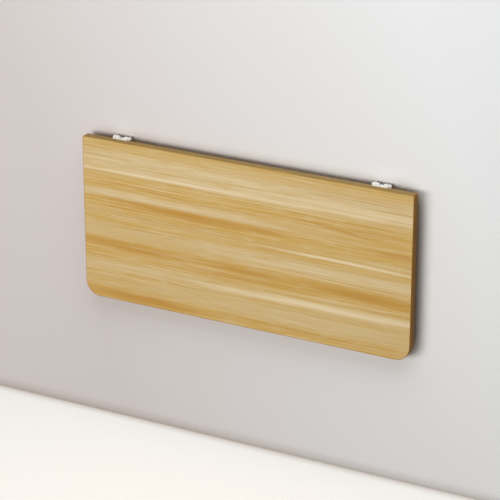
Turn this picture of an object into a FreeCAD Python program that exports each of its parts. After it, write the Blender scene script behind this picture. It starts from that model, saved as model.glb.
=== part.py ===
import FreeCAD, Part
import Sketcher
import os

# Wall mounted drop leaf table: a laminated leaf on two folding steel brackets, hanging folded down.
# Frame: X along the leaf, the wall is the plane y = 0 with the table at y < 0, Z up, millimetres.
# The origin is the middle of the four wall screw holes.

# Driving dimensions: name, value, what it measures
DIMENSIONS = (
    ("leaf_width", 800, "leaf length along the wall"),
    ("leaf_height", 380, "leaf depth, hinge edge to free edge"),
    ("leaf_thickness", 20, "leaf thickness over both laminates"),
    ("laminate", 0.8, "face and backing laminate thickness"),
    ("edge_band", 1.5, "edge band thickness"),
    ("edge_round", 1.2, "rounding of the edge band's long edges"),
    ("free_corner", 35, "corner radius at the free edge"),
    ("hinge_corner", 4, "corner radius at the hinge edge"),
    ("leaf_gap", 18, "wall to the back of the folded leaf"),
    ("leaf_rise", 2, "hinge axis up to the leaf's hinge edge"),
    ("hinge_offset", 9, "wall to the hinge axis"),
    ("bracket_inset", 86, "leaf end to the middle of a bracket"),
    ("sheet_steel", 2, "bracket sheet thickness"),
    ("bend_radius", 1, "inside radius of the bracket bends"),
    ("leg_width", 36, "wall leg, outside of its flanges"),
    ("leg_tail", 16, "wall leg below the brace pivot"),
    ("leg_tail_round", 7, "rounding of the wall leg's lower corners"),
    ("leg_ear", 5.5, "radius of the wall leg's hinge ears"),
    ("leg_web_start", 8, "hinge axis to the start of the wall leg's web"),
    ("hole_drop", 18, "hinge axis down to the upper wall hole"),
    ("hole_pitch", 80, "upper to lower wall hole"),
    ("wall_hole", 5.5, "wall screw hole diameter"),
    ("arm_side", 1.5, "wall leg's flange to the leaf arm's flange"),
    ("arm_tail", 8, "end of the folded brace to the arm's free end"),
    ("arm_ear", 5, "radius of the arm's hinge ears"),
    ("end_flat", 0.2, "half of the flat left on a rounded end"),
    ("arm_web_start", 8, "hinge axis to the start of the arm's web"),
    ("arm_tip_round", 9, "rounding of the arm's free corners"),
    ("lip_reach", 4, "arm's lip over the leaf's hinge edge"),
    ("lip_round", 3, "rounding of the lip's front corners"),
    ("hinge_pin", 6, "hinge pin diameter"),
    ("pin_head", 9, "hinge pin and brace pin head diameter"),
    ("pin_head_depth", 1.1, "hinge pin and brace pin head thickness"),
    ("running_gap", 0.05, "radial clearance of a turning fit"),
    ("seat_gap", 0.02, "radial clearance of a fixed fit"),
    ("side_gap", 0.2, "end clearance beside washers and sleeves"),
    ("sleeve", 11, "hinge sleeve diameter"),
    ("sleeve_split", 11.4, "open middle between the two hinge sleeves"),
    ("brace_drop", 120, "hinge axis down to the brace pivot"),
    ("brace_offset", 8, "wall to the brace pivot"),
    ("brace_reach", 205, "brace pivot to the tip bar"),
    ("brace_side", 4, "brace cheek to the wall leg's flange"),
    ("brace_end", 5, "radius of the brace's rounded ends"),
    ("brace_web_start", 7, "brace pivot to the start of its web"),
    ("brace_web_stop", 14, "end of the brace's web to the tip bar"),
    ("brace_pin", 6, "brace pivot pin diameter"),
    ("bush", 10, "brace bush diameter"),
    ("tip_bar", 8, "tip bar diameter"),
    ("tip_bar_gap", 0.6, "tip bar end to the arm's flange"),
    ("catch_length", 26, "catch plate along the arm"),
    ("catch_depth", 2, "catch plate thickness"),
    ("detent", 0.4, "depth of the catch groove"),
    ("catch_gap", 0.3, "tip bar to the catch groove with the leaf level"),
    ("catch_side", 1, "brace cheek to the side of the catch plate"),
    ("screw_shank", 4, "arm screw shank diameter"),
    ("screw_bite", 13, "arm screw length in the leaf"),
    ("screw_head", 8, "arm screw head diameter"),
    ("screw_head_depth", 2.4, "arm screw head thickness"),
    ("screw_slot", 1.2, "arm screw cross recess width"),
    ("screw_slot_span", 4.6, "arm screw cross recess length"),
    ("screw_slot_depth", 1.3, "arm screw cross recess depth"),
    ("screw_first", 36, "hinge axis to the first arm screw"),
    ("screw_beside", 27, "catch plate to the arm screws on either side"),
    ("screw_last", 38, "last arm screw to the arm's free end"),
)
TOUCH = 1e-4
SIDES = (("left", "-1"), ("right", "1"))

doc = FreeCAD.newDocument("drop_leaf_table")
sheet = doc.addObject("Spreadsheet::Sheet", "dims")
for row, (alias, size, meaning) in enumerate(DIMENSIONS, 1):
    sheet.set(f"A{row}", meaning)
    sheet.set(f"B{row}", str(size))
    sheet.setAlias(f"B{row}", alias)
doc.recompute()

# Places worked out from the driving dimensions, as expressions
HINGE_Z = "(dims.hole_pitch / 2 + dims.hole_drop)"
LEAF_TOP = f"({HINGE_Z} + dims.leaf_rise)"
LEAF_FRONT = "(dims.leaf_gap + dims.leaf_thickness)"
PIVOT_Z = f"({HINGE_Z} - dims.brace_drop)"
TIP_Z = f"({PIVOT_Z} - dims.brace_reach)"
LEG_DEPTH = "(dims.hinge_offset + dims.leg_ear)"
ARM_DEPTH = "(dims.leaf_gap - dims.hinge_offset + dims.arm_ear)"
ARM_WEB = "(dims.leaf_gap - dims.sheet_steel)"
LEG_INSIDE = "(dims.leg_width - 2 * dims.sheet_steel)"
ARM_INSIDE = "(dims.leg_width + 2 * dims.arm_side)"
ARM_WIDTH = f"({ARM_INSIDE} + 2 * dims.sheet_steel)"
LIP_WIDTH = f"({ARM_INSIDE} - 2 * dims.bend_radius)"
LIP_DEPTH = "(dims.lip_reach + dims.sheet_steel)"
TONGUE = "(dims.arm_web_start + dims.leaf_rise)"
BRACE_WIDTH = f"({LEG_INSIDE} - 2 * dims.brace_side)"
BRACE_INSIDE = f"({BRACE_WIDTH} - 2 * dims.sheet_steel)"
# With the leaf level, the tip bar lies in the catch groove, this far above the hinge axis
GROOVE = "(dims.tip_bar + 2 * dims.catch_gap)"
GROOVE_OUT = f"({ARM_WEB} - dims.catch_depth + dims.detent - {GROOVE} / 2)"
TIP_RISE = f"({GROOVE_OUT} - dims.hinge_offset)"
TIP_OUT = f"sqrt(pow(dims.brace_reach; 2) - pow(dims.brace_drop + {TIP_RISE}; 2))"
CATCH_REACH = f"({TIP_OUT} + dims.brace_offset - dims.hinge_offset)"
ARM_REACH = "(dims.brace_drop + dims.brace_reach + dims.brace_end + dims.arm_tail)"
# Distances of the arm screws from the hinge axis
SCREW_REACHES = (
    "dims.screw_first",
    f"({CATCH_REACH} - dims.catch_length / 2 - dims.screw_beside)",
    f"({CATCH_REACH} + dims.catch_length / 2 + dims.screw_beside)",
    f"({ARM_REACH} - dims.screw_last)",
)

PLANE_ROLES = {"XY": "XY_Plane", "XZ": "XZ_Plane", "YZ": "YZ_Plane"}
# A cut starts from an origin plane and runs into the solid, which lies on that plane's positive side
CUT_REVERSED = {"XY": True, "XZ": False, "YZ": True}
AXIS_VECTORS = {"x": FreeCAD.Vector(1, 0, 0), "y": FreeCAD.Vector(0, 1, 0), "z": FreeCAD.Vector(0, 0, 1)}
LENGTHWISE = FreeCAD.Rotation(AXIS_VECTORS["y"], 90)
OUTWARD = FreeCAD.Rotation(AXIS_VECTORS["x"], 90)

nodes = []


def number(alias):
    """Value of one driving dimension."""
    return float(sheet.get(alias))


def node(obj, label):
    """Give an object the label that names its file and keep it as a sub-part."""
    obj.Label = label
    nodes.append(obj)
    return obj


def place(obj, across=None, out=None, up=None):
    """Bind an object's place: along X, distance from the wall along -Y, and height along Z."""
    if across is not None:
        obj.setExpression("Placement.Base.x", across)
    if out is not None:
        obj.setExpression("Placement.Base.y", f"-({out})")
    if up is not None:
        obj.setExpression("Placement.Base.z", up)
    return obj


def new_sketch(body, plane, name):
    """Sketch on one of a body's origin planes."""
    sketch = body.newObject("Sketcher::SketchObject", name)
    role = PLANE_ROLES[plane]
    support = next(item for item in body.Origin.OriginFeatures if item.Role == role)
    sketch.AttachmentSupport = [(support, "")]
    sketch.MapMode = "FlatFace"
    return sketch


def bind(sketch, kind, ends, name, expression):
    """Add a distance constraint to a sketch and bind it to an expression."""
    index = sketch.addConstraint(Sketcher.Constraint(kind, *ends, 1.0))
    sketch.renameConstraint(index, name)
    sketch.setExpression(f"Constraints.{name}", expression)


def locate(sketch, geometry, point, left, low):
    """Bind a sketch point's distance from the sketch origin, both ways."""
    for kind, axis, name, expression in (("DistanceX", -2, "left", left), ("DistanceY", -1, "low", low)):
        if expression is None:
            sketch.addConstraint(Sketcher.Constraint("PointOnObject", geometry, point, axis))
        else:
            bind(sketch, kind, (-1, 1, geometry, point), name, expression)


def rectangle(body, plane, name, wide, tall, left=None, low=None):
    """Sketch of a rectangle, with its lower left corner at (left, low) from the origin."""
    sketch = new_sketch(body, plane, name)
    corners = [FreeCAD.Vector(x, y, 0) for x, y in ((0, 0), (1, 0), (1, 1), (0, 1))]
    for index, corner in enumerate(corners):
        sketch.addGeometry(Part.LineSegment(corner, corners[(index + 1) % 4]), False)
    for index in range(4):
        sketch.addConstraint(Sketcher.Constraint("Coincident", index, 2, (index + 1) % 4, 1))
        sketch.addConstraint(Sketcher.Constraint("Vertical" if index % 2 else "Horizontal", index))
    locate(sketch, 0, 1, left, low)
    bind(sketch, "DistanceX", (0, 1, 0, 2), "wide", wide)
    bind(sketch, "DistanceY", (1, 1, 1, 2), "tall", tall)
    return sketch


def circle(body, plane, name, diameter, left, low):
    """Sketch of a circle with its centre at (left, low) from the origin."""
    sketch = new_sketch(body, plane, name)
    sketch.addGeometry(Part.Circle(FreeCAD.Vector(1, 1, 0), AXIS_VECTORS["z"], 1), False)
    locate(sketch, 0, 3, left, low)
    bind(sketch, "Diameter", (0,), "diameter", diameter)
    return sketch


def pad(body, sketch, length):
    """Pad a sketch by an expression's length."""
    feature = body.newObject("PartDesign::Pad", f"{sketch.Name}_pad")
    feature.Profile = sketch
    feature.setExpression("Length", length)
    doc.recompute()
    return feature


def pocket(body, sketch, plane):
    """Cut a sketch right through a body, and make sure that it took material away."""
    before = body.Shape.Volume
    feature = body.newObject("PartDesign::Pocket", f"{sketch.Name}_pocket")
    feature.Profile = sketch
    feature.Type = "ThroughAll"
    feature.Reversed = CUT_REVERSED[plane]
    doc.recompute()
    if not body.Shape.Volume < before - TOUCH:
        raise RuntimeError(f"{feature.Name} cuts nothing")
    return feature


def straight_edges(shape, axis, **places):
    """Names of the edges along an axis whose middle has one of the coordinates given for x, y or z."""
    names = []
    for index, edge in enumerate(shape.Edges, 1):
        ends = [vertex.Point for vertex in edge.Vertexes]
        if len(ends) != 2 or abs((ends[1] - ends[0]).dot(AXIS_VECTORS[axis])) < edge.Length - TOUCH:
            continue
        middle = edge.CenterOfMass
        if all(min(abs(getattr(middle, key) - at) for at in spots) < TOUCH for key, spots in places.items()):
            names.append(f"Edge{index}")
    return names


def fillet(body, name, radius, edges):
    """Round the named edges of a body's last feature by an expression's radius."""
    base = body.Tip
    feature = body.newObject("PartDesign::Fillet", name)
    feature.Base = (base, edges)
    feature.setExpression("Radius", radius)
    doc.recompute()
    return feature


def new_body(name):
    """Empty body."""
    return doc.addObject("PartDesign::Body", name)


def round_bar(name, turn, diameter, length, across, out, up):
    """Round bar from a point, along Z before a turn."""
    bar = doc.addObject("Part::Cylinder", name)
    bar.setExpression("Radius", f"({diameter}) / 2")
    bar.setExpression("Height", length)
    bar.Placement = FreeCAD.Placement(FreeCAD.Vector(), turn)
    return place(bar, across, out, up)


def rod(name, diameter, length, across, out, up):
    """Round bar along X that starts at across."""
    return round_bar(name, LENGTHWISE, diameter, length, across, out, up)


def stud(name, diameter, length, across, out, up):
    """Round bar along -Y, away from the wall, that starts at out."""
    return round_bar(name, OUTWARD, diameter, length, across, out, up)


def block(name, wide, deep, tall, across, out, up):
    """Box from across along X, from out towards the wall along Y, from up along Z."""
    box = doc.addObject("Part::Box", name)
    box.setExpression("Length", wide)
    box.setExpression("Width", deep)
    box.setExpression("Height", tall)
    return place(box, across, out, up)


def fuse(name, *shapes):
    """One solid from several that meet."""
    joined = doc.addObject("Part::MultiFuse", name)
    joined.Shapes = list(shapes)
    return joined


def cut(name, base, tool):
    """Base with the tool taken away."""
    result = doc.addObject("Part::Cut", name)
    result.Base = base
    result.Tool = tool
    return result


def common(name, base, tool):
    """What base and tool share."""
    result = doc.addObject("Part::Common", name)
    result.Base = base
    result.Tool = tool
    return result


def group(name, *shapes):
    """Separate solids kept in one sub-part."""
    result = doc.addObject("Part::Compound", name)
    result.Links = list(shapes)
    return result


# Leaf

def leaf_slab(name, inset, thick, out):
    """Slab of the leaf's outline, drawn in by inset, with its four corners rounded."""
    body = new_body(name)
    wide = f"dims.leaf_width - 2 * ({inset})"
    tall = f"dims.leaf_height - 2 * ({inset})"
    pad(body, rectangle(body, "XZ", f"{name}_outline", wide, tall), thick)
    height = body.Shape.BoundBox.ZMax
    for end, corner, level in (("free", "dims.free_corner", 0.0), ("hinge", "dims.hinge_corner", height)):
        corners = straight_edges(body.Shape, "y", z=[level])
        fillet(body, f"{name}_{end}_corners", f"{corner} - ({inset})", corners)
    return place(body, f"-dims.leaf_width / 2 + ({inset})", out, f"{LEAF_TOP} - dims.leaf_height + ({inset})")


def outline_edges(shape):
    """Names of the edges round a slab's two faces."""
    box = shape.BoundBox
    names = []
    for index, edge in enumerate(shape.Edges, 1):
        span = edge.BoundBox
        if span.YLength < TOUCH and min(span.YMin - box.YMin, box.YMax - span.YMax) < TOUCH:
            names.append(f"Edge{index}")
    return names


def bracket_x(side):
    """Middle of one bracket along X, as an expression."""
    return f"{side} * (dims.leaf_width / 2 - dims.bracket_inset)"


def pilot_holes(name):
    """Holes in the leaf for the arm screws of both brackets."""
    holes = [
        stud(f"{name}_{hand}_{index}", "dims.screw_shank + 2 * dims.seat_gap", "dims.screw_bite",
             bracket_x(side), "dims.leaf_gap", f"{HINGE_Z} - {reach}")
        for hand, side in SIDES for index, reach in enumerate(SCREW_REACHES, 1)
    ]
    return group(name, *holes)


def make_leaf():
    """Core, laminates and edge bands."""
    core_thick = "dims.leaf_thickness - 2 * dims.laminate"
    core = leaf_slab("core_slab", "dims.edge_band", core_thick, "dims.leaf_gap + dims.laminate")
    back = leaf_slab("back_slab", "dims.edge_band", "dims.laminate", "dims.leaf_gap")
    face = leaf_slab("face_slab", "dims.edge_band", "dims.laminate", f"{LEAF_FRONT} - dims.laminate")
    node(cut("drilled_core", core, pilot_holes("core_holes")), "leaf_core")
    node(cut("drilled_back", back, pilot_holes("back_holes")), "back_laminate")
    node(face, "face_laminate")

    outer = leaf_slab("band_outer", "0", "dims.leaf_thickness", "dims.leaf_gap")
    fillet(outer, "band_edges", "dims.edge_round", outline_edges(outer.Shape))
    inner = leaf_slab("band_inner", "dims.edge_band", "dims.leaf_thickness", "dims.leaf_gap")
    ring = cut("band_ring", outer, inner)
    strip = ("dims.leaf_width - 2 * dims.hinge_corner", "dims.leaf_thickness", "dims.edge_band",
             "-dims.leaf_width / 2 + dims.hinge_corner", LEAF_FRONT, f"{LEAF_TOP} - dims.edge_band")
    node(common("hinge_band", ring, block("hinge_band_run", *strip)), "edge_band_hinge_side")
    node(cut("free_band", ring, block("free_band_gap", *strip)), "edge_band_free_sides")


# Brackets

def channel(name, width, depth, length, web_at_far_side):
    """U channel of bent sheet along Z, from the origin to (width, depth, length), open on one Y side."""
    body = new_body(name)
    pad(body, rectangle(body, "XY", f"{name}_section", width, depth), length)
    hollow = rectangle(body, "XY", f"{name}_hollow", f"({width}) - 2 * dims.sheet_steel",
                       f"({depth}) - dims.sheet_steel", left="dims.sheet_steel",
                       low=None if web_at_far_side else "dims.sheet_steel")
    pocket(body, hollow, "XY")
    box = body.Shape.BoundBox
    steel = number("sheet_steel")
    outer_y = box.YMax if web_at_far_side else 0.0
    inner_y = box.YMax - steel if web_at_far_side else steel
    fillet(body, f"{name}_outer_bends", "dims.bend_radius + dims.sheet_steel",
           straight_edges(body.Shape, "z", x=[0.0, box.XMax], y=[outer_y]))
    fillet(body, f"{name}_inner_bends", "dims.bend_radius",
           straight_edges(body.Shape, "z", x=[steel, box.XMax - steel], y=[inner_y]))
    return body


def cross_bore(body, name, diameter, out, up):
    """Bore along X through both flanges of a channel."""
    pocket(body, circle(body, "YZ", name, diameter, out, up), "YZ")


def pin_with_heads(name, diameter, grip, out, up):
    """Pin along X across a bracket, with a head on each end of its grip."""
    shank = rod(f"{name}_shank", diameter, grip, f"-({grip}) / 2", out, up)
    heads = [
        rod(f"{name}_head_{index}", "dims.pin_head", "dims.pin_head_depth", start, out, up)
        for index, start in enumerate((f"-({grip}) / 2 - dims.pin_head_depth", f"({grip}) / 2"), 1)
    ]
    return fuse(name, shank, *heads)


def ring_pair(name, outer, inner, length, start, out, up):
    """Two rings along X, one each side of a bracket's middle, that start at start from it."""
    rings = []
    for hand, begin in (("a", f"-({start}) - ({length})"), ("b", start)):
        body = rod(f"{name}_{hand}_body", outer, length, begin, out, up)
        bore = rod(f"{name}_{hand}_bore", inner, length, begin, out, up)
        rings.append(cut(f"{name}_{hand}", body, bore))
    return group(name, *rings)


def make_wall_leg(hand, across):
    """Wall leg: channel against the wall with hinge ears, brace pivot holes and two wall holes."""
    name = f"wall_leg_{hand}"
    below = "(dims.brace_drop + dims.leg_tail)"
    leg = channel(name, "dims.leg_width", LEG_DEPTH, f"{below} + dims.leg_ear", True)
    top = leg.Shape.BoundBox.ZMax
    fillet(leg, f"{name}_ears", "dims.leg_ear", straight_edges(leg.Shape, "x", y=[0.0], z=[top]))
    fillet(leg, f"{name}_tail", "dims.leg_tail_round", straight_edges(leg.Shape, "x", y=[0.0], z=[0.0]))
    opening = rectangle(leg, "XZ", f"{name}_hinge_opening", LEG_INSIDE, "dims.leg_ear + dims.leg_web_start",
                        left="dims.sheet_steel", low=f"{below} - dims.leg_web_start")
    pocket(leg, opening, "XZ")
    hinge_bore = "dims.hinge_pin + 2 * dims.seat_gap"
    cross_bore(leg, f"{name}_hinge_bore", hinge_bore, "dims.leg_ear", below)
    brace_bore = "dims.brace_pin + 2 * dims.seat_gap"
    cross_bore(leg, f"{name}_brace_bore", brace_bore, f"{LEG_DEPTH} - dims.brace_offset", "dims.leg_tail")
    for index, drop in enumerate(("dims.hole_drop", "dims.hole_drop + dims.hole_pitch"), 1):
        hole = circle(leg, "XZ", f"{name}_wall_hole_{index}", "dims.wall_hole", "dims.leg_width / 2",
                      f"{below} - ({drop})")
        pocket(leg, hole, "XZ")
    place(leg, f"{across} - dims.leg_width / 2", LEG_DEPTH, f"{HINGE_Z} - {below}")
    node(leg, name)


def make_lip(name):
    """Sheet tongue that goes on from the arm's web and is bent over the leaf's hinge edge."""
    lip = new_body(name)
    pad(lip, rectangle(lip, "YZ", f"{name}_side", LIP_DEPTH, f"{TONGUE} + dims.sheet_steel"), LIP_WIDTH)
    pocket(lip, rectangle(lip, "YZ", f"{name}_seat", "dims.lip_reach", TONGUE), "YZ")
    box = lip.Shape.BoundBox
    steel = number("sheet_steel")
    fillet(lip, f"{name}_outer_bend", "dims.bend_radius + dims.sheet_steel - dims.end_flat",
           straight_edges(lip.Shape, "x", y=[box.YMax], z=[box.ZMax]))
    fillet(lip, f"{name}_inner_bend", "dims.bend_radius",
           straight_edges(lip.Shape, "x", y=[box.YMax - steel], z=[box.ZMax - steel]))
    fillet(lip, f"{name}_corners", "dims.lip_round", straight_edges(lip.Shape, "z", y=[0.0]))
    return lip


def make_arm(hand, across):
    """Leaf arm: channel against the back of the leaf, with ears that turn on the hinge pin."""
    name = f"leaf_arm_{hand}"
    arm = channel(f"{name}_channel", ARM_WIDTH, ARM_DEPTH, f"{ARM_REACH} + dims.arm_ear", False)
    ear_outer = "dims.leaf_gap - dims.hinge_offset - dims.arm_ear"
    relief = rectangle(arm, "YZ", f"{name}_relief", ear_outer, "dims.arm_ear + dims.arm_web_start",
                       low=f"{ARM_REACH} - dims.arm_web_start")
    pocket(arm, relief, "YZ")
    box = arm.Shape.BoundBox
    ear_y = number("leaf_gap") - number("hinge_offset") - number("arm_ear")
    fillet(arm, f"{name}_ears", "dims.arm_ear - dims.end_flat",
           straight_edges(arm.Shape, "x", y=[ear_y, box.YMax], z=[box.ZMax]))
    fillet(arm, f"{name}_tip", "dims.arm_tip_round", straight_edges(arm.Shape, "x", y=[box.YMax], z=[0.0]))
    hinge_bore = "dims.hinge_pin + 2 * dims.running_gap"
    cross_bore(arm, f"{name}_hinge_bore", hinge_bore, "dims.leaf_gap - dims.hinge_offset", ARM_REACH)
    for index, reach in enumerate(SCREW_REACHES, 1):
        hole = circle(arm, "XZ", f"{name}_screw_hole_{index}", "dims.screw_shank + 2 * dims.seat_gap",
                      f"{ARM_WIDTH} / 2", f"{ARM_REACH} - {reach}")
        pocket(arm, hole, "XZ")
    place(arm, f"{across} - {ARM_WIDTH} / 2", "dims.leaf_gap", f"{HINGE_Z} - {ARM_REACH}")
    lip = place(make_lip(f"{name}_lip"), f"{across} - {LIP_WIDTH} / 2", "dims.leaf_gap + dims.lip_reach",
                f"{HINGE_Z} - dims.arm_web_start")
    node(fuse(f"{name}_bent", arm, lip), name)


def make_hinge(hand, across):
    """Hinge pin riveted in the wall leg, with sleeves inside the leg and washers beside the arm."""
    pin = pin_with_heads(f"hinge_pin_{hand}", "dims.hinge_pin", f"{ARM_WIDTH} + 2 * dims.side_gap",
                         "dims.hinge_offset", HINGE_Z)
    node(place(pin, across), f"hinge_pin_{hand}")
    bore = "dims.hinge_pin + 2 * dims.seat_gap"
    sleeves = ring_pair(f"hinge_sleeves_{hand}", "dims.sleeve", bore,
                        f"{LEG_INSIDE} / 2 - dims.sleeve_split / 2 - dims.side_gap", "dims.sleeve_split / 2",
                        "dims.hinge_offset", HINGE_Z)
    node(place(sleeves, across), f"hinge_sleeves_{hand}")
    washers = ring_pair(f"hinge_washers_{hand}", "2 * dims.arm_ear", bore,
                        "dims.arm_side - 2 * dims.side_gap",
                        "dims.leg_width / 2 + dims.side_gap", "dims.hinge_offset", HINGE_Z)
    node(place(washers, across), f"hinge_washers_{hand}")


def make_brace(hand, across):
    """Brace that swings on the wall leg and holds the arm up by its tip bar."""
    name = f"brace_{hand}"
    length = "dims.brace_reach + 2 * dims.brace_end"
    brace = channel(f"{name}_channel", BRACE_WIDTH, "2 * dims.brace_end", length, True)
    foot_end = rectangle(brace, "XZ", f"{name}_foot_opening", BRACE_INSIDE,
                         "dims.brace_end + dims.brace_web_start", left="dims.sheet_steel",
                         low=f"{length} - dims.brace_end - dims.brace_web_start")
    pocket(brace, foot_end, "XZ")
    tip_end = rectangle(brace, "XZ", f"{name}_tip_opening", BRACE_INSIDE,
                        "dims.brace_end + dims.brace_web_stop", left="dims.sheet_steel")
    pocket(brace, tip_end, "XZ")
    cross_bore(brace, f"{name}_foot_bore", "dims.brace_pin + 2 * dims.running_gap", "dims.brace_end",
               f"{length} - dims.brace_end")
    cross_bore(brace, f"{name}_tip_bore", "dims.tip_bar + 2 * dims.seat_gap", "dims.brace_end",
               "dims.brace_end")
    outline = new_body(f"{name}_outline")
    pad(outline, rectangle(outline, "YZ", f"{name}_side", "2 * dims.brace_end", length), BRACE_WIDTH)
    fillet(outline, f"{name}_ends", "dims.brace_end - dims.end_flat", straight_edges(outline.Shape, "x"))
    rounded = common(f"{name}_rounded", brace, outline)
    place(rounded, f"{across} - {BRACE_WIDTH} / 2", "dims.brace_offset + dims.brace_end",
          f"{TIP_Z} - dims.brace_end")
    node(rounded, name)

    pin = pin_with_heads(f"brace_pin_{hand}", "dims.brace_pin", "dims.leg_width", "dims.brace_offset",
                         PIVOT_Z)
    node(place(pin, across), f"brace_pin_{hand}")
    bushes = ring_pair(f"brace_bushes_{hand}", "dims.bush", "dims.brace_pin + 2 * dims.seat_gap",
                       "dims.brace_side - 2 * dims.side_gap",
                       f"{BRACE_WIDTH} / 2 + dims.side_gap", "dims.brace_offset", PIVOT_Z)
    node(place(bushes, across), f"brace_bushes_{hand}")
    span = f"{ARM_INSIDE} - 2 * dims.tip_bar_gap"
    bar = rod(f"tip_bar_{hand}", "dims.tip_bar", span, f"{across} - ({span}) / 2", "dims.brace_offset", TIP_Z)
    node(bar, f"tip_bar_{hand}")


def make_catch(hand, across):
    """Catch plate on the arm's web, with a shallow groove that the tip bar settles in."""
    name = f"catch_plate_{hand}"
    wide = f"{BRACE_INSIDE} - 2 * dims.catch_side"
    plate = block(f"{name}_blank", wide, "dims.catch_depth", "dims.catch_length", f"-({wide}) / 2", ARM_WEB,
                  f"{HINGE_Z} - {CATCH_REACH} - dims.catch_length / 2")
    groove = rod(f"{name}_groove", GROOVE, wide, f"-({wide}) / 2", GROOVE_OUT, f"{HINGE_Z} - {CATCH_REACH}")
    node(place(cut(name, plate, groove), across), name)


def make_screws(hand, across):
    """Wood screws that hold the arm to the leaf, heads on the arm's web."""
    screws = []
    for index, reach in enumerate(SCREW_REACHES, 1):
        name = f"arm_screw_{hand}_{index}"
        height = f"{HINGE_Z} - {reach}"
        seat = f"{ARM_WEB} - dims.screw_head_depth"
        head = stud(f"{name}_head", "dims.screw_head", "dims.screw_head_depth", "0", seat, height)
        shank = stud(f"{name}_shank", "dims.screw_shank", "dims.sheet_steel + dims.screw_bite", "0",
                     ARM_WEB, height)
        flutes = fuse(
            f"{name}_recess",
            *(block(f"{name}_slot_{turn}", wide, "dims.screw_slot_depth", tall, f"-({wide}) / 2",
                    f"{seat} + dims.screw_slot_depth", f"{height} - ({tall}) / 2")
              for turn, (wide, tall) in enumerate((("dims.screw_slot", "dims.screw_slot_span"),
                                                   ("dims.screw_slot_span", "dims.screw_slot")), 1)))
        screws.append(cut(name, fuse(f"{name}_blank", head, shank), flutes))
    node(place(group(f"arm_screws_{hand}", *screws), across), f"arm_screws_{hand}")


make_leaf()
for hand_name, hand_sign in SIDES:
    middle = bracket_x(hand_sign)
    make_wall_leg(hand_name, middle)
    make_hinge(hand_name, middle)
    make_arm(hand_name, middle)
    make_screws(hand_name, middle)
    make_catch(hand_name, middle)
    make_brace(hand_name, middle)
doc.recompute()

for item in doc.Objects:
    if {"Invalid", "Error"} & set(item.State):
        raise RuntimeError(f"{item.Name} is {item.State}")
for item in nodes:
    if item.Shape.isNull() or not item.Shape.isValid():
        raise RuntimeError(f"{item.Label} has no valid shape")

os.makedirs("parts", exist_ok=True)
for item in nodes:
    item.Shape.exportStep(f"parts/{item.Label}.step")
print(f"{len(nodes)} sub-parts written")
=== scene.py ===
"""Looks of a wall mounted drop leaf table: a wood-grain leaf on two white folding brackets."""

import logging
import math
from dataclasses import dataclass
from enum import Enum
from typing import Any, Sequence

import bmesh
import bpy
import numpy as np
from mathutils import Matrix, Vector


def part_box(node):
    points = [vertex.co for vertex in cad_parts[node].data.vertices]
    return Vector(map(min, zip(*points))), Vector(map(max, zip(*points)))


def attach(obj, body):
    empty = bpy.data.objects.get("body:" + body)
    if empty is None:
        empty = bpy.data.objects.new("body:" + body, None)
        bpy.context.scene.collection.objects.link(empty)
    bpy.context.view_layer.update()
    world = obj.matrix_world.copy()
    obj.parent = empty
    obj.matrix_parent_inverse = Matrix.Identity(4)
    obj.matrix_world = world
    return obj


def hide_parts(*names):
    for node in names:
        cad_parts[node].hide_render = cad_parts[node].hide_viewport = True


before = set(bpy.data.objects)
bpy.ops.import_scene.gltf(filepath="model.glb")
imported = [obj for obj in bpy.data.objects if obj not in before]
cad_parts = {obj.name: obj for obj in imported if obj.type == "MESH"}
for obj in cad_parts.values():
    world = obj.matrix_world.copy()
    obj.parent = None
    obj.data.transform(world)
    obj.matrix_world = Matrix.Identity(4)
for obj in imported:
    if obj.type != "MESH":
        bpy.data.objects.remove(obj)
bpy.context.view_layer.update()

LOG = logging.getLogger("drop_leaf_table")
Tree = bpy.types.NodeTree
Node = bpy.types.Node
Socket = bpy.types.NodeSocket
Piece = bpy.types.Object
MM = 0.001
IMAGE_SIDE = 500
SENSOR = 36.0
# UV map that runs along and around an edge band
BAND_MAP = "band"
# Edges sharper than this stay sharp, in degrees
SHARP = 35.0
# Points nearer than this become one, in metres: of a new grid, and of a copied CAD node
WELD = 1e-7
NODE_WELD = 1e-6
# Edges shorter than this are taken out, in metres
SLIVER = 1e-8


class Slot(Enum):
    """Material slots of the record."""

    LAMINATE = "wood_grain_laminate"
    EDGE_BAND = "edge_band"
    BOARD = "particle_board"
    STEEL = "white_steel"
    PLATED = "plated_steel"
    NYLON = "white_nylon"


class Body(Enum):
    """Moving bodies of the record."""

    WALL = "wall_brackets"
    LEAF = "leaf"
    BRACE_LEFT = "brace_left"
    BRACE_RIGHT = "brace_right"


class Side(Enum):
    """The two brackets."""

    LEFT = "left"
    RIGHT = "right"

    @property
    def brace(self) -> Body:
        """Body of this side's brace."""
        return Body.BRACE_LEFT if self is Side.LEFT else Body.BRACE_RIGHT


class Tone(Enum):
    """Printed tones of the wood-grain laminate, palest to darkest."""

    CREAM = "#E2CFA8"
    PALE = "#D1BB8E"
    TAN = "#C8AB6E"
    HONEY = "#C6A152"
    BROWN = "#B98934"


def linear(code: str) -> tuple[float, float, float, float]:
    """Turn an sRGB hex colour into linear RGBA.

    Args:
        code: Colour as #RRGGBB.

    Returns:
        Linear red, green and blue, and full alpha.
    """
    parts = (int(code[at:at + 2], 16) / 255 for at in (1, 3, 5))
    red, green, blue = (c / 12.92 if c <= 0.04045 else ((c + 0.055) / 1.055) ** 2.4 for c in parts)
    return red, green, blue, 1.0


def add_node(tree: Tree, kind: str, inputs: dict[Any, Any] | None = None,
             **settings: Any) -> Node:
    """Add a node with its settings and links.

    Args:
        tree: Node tree that gets the node.
        kind: Type of the node.
        inputs: Sockets by name or number, each with a value or the output that it is linked to.
        settings: Properties of the node.

    Returns:
        The new node.
    """
    node = tree.nodes.new(kind)
    for name, value in settings.items():
        setattr(node, name, value)
    for key, value in (inputs or {}).items():
        if isinstance(value, Socket):
            tree.links.new(value, node.inputs[key])
        else:
            node.inputs[key].default_value = value
    return node


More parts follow.
